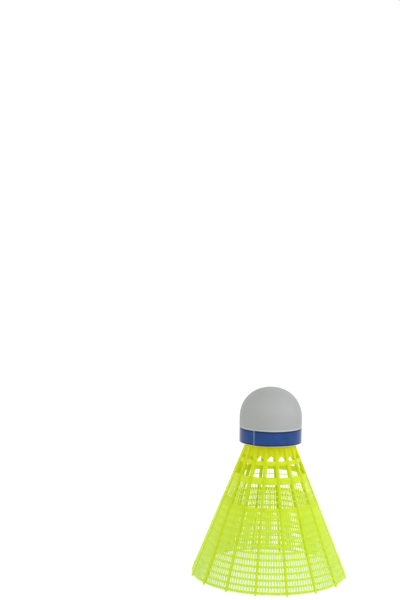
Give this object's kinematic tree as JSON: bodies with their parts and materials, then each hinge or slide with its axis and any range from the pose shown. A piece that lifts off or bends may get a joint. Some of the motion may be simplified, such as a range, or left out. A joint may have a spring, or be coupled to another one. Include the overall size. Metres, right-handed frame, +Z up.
{
  "type": "badminton shuttlecock",
  "caption": "Cone-shaped projectile for badminton: a moulded net skirt glued by its plug into a round-nosed cork base with a cover and a coloured band.",
  "frame": {"origin": "on the axis, level with the tips of the skirt's ribs, which is the plane that it stands on", "axes": "+Z up the axis to the nose of the cork; the ribs lie at multiples of 22.5 degrees from +X, so that +X and -Y each point at a rib"},
  "size_m": [0.0656, 0.0656, 0.0786],
  "materials": {
    "nylon": "satin, slightly translucent fluorescent yellow moulded nylon",
    "cork": "bare ground cork with fine dark flecks",
    "cover": "white synthetic leather, satin, with a faint grain",
    "band": "glossy royal blue tape",
    "adhesive": "clear set adhesive, slightly yellow"
  },
  "bodies": {
    "root": {"cork": "cork", "cork_cover": "cover", "speed_band": "band", "plug_adhesive": "adhesive", "skirt_neck": "nylon", "skirt_rib_01": "nylon", "skirt_rib_02": "nylon", "skirt_rib_03": "nylon", "skirt_rib_04": "nylon", "skirt_rib_05": "nylon", "skirt_rib_06": "nylon", "skirt_rib_07": "nylon", "skirt_rib_08": "nylon", "skirt_rib_09": "nylon", "skirt_rib_10": "nylon", "skirt_rib_11": "nylon", "skirt_rib_12": "nylon", "skirt_rib_13": "nylon", "skirt_rib_14": "nylon", "skirt_rib_15": "nylon", "skirt_rib_16": "nylon", "net_panel_01": "nylon", "net_panel_02": "nylon", "net_panel_03": "nylon", "net_panel_04": "nylon", "net_panel_05": "nylon", "net_panel_06": "nylon", "net_panel_07": "nylon", "net_panel_08": "nylon", "net_panel_09": "nylon", "net_panel_10": "nylon", "net_panel_11": "nylon", "net_panel_12": "nylon", "net_panel_13": "nylon", "net_panel_14": "nylon", "net_panel_15": "nylon", "net_panel_16": "nylon"}
  },
  "joints": []
}
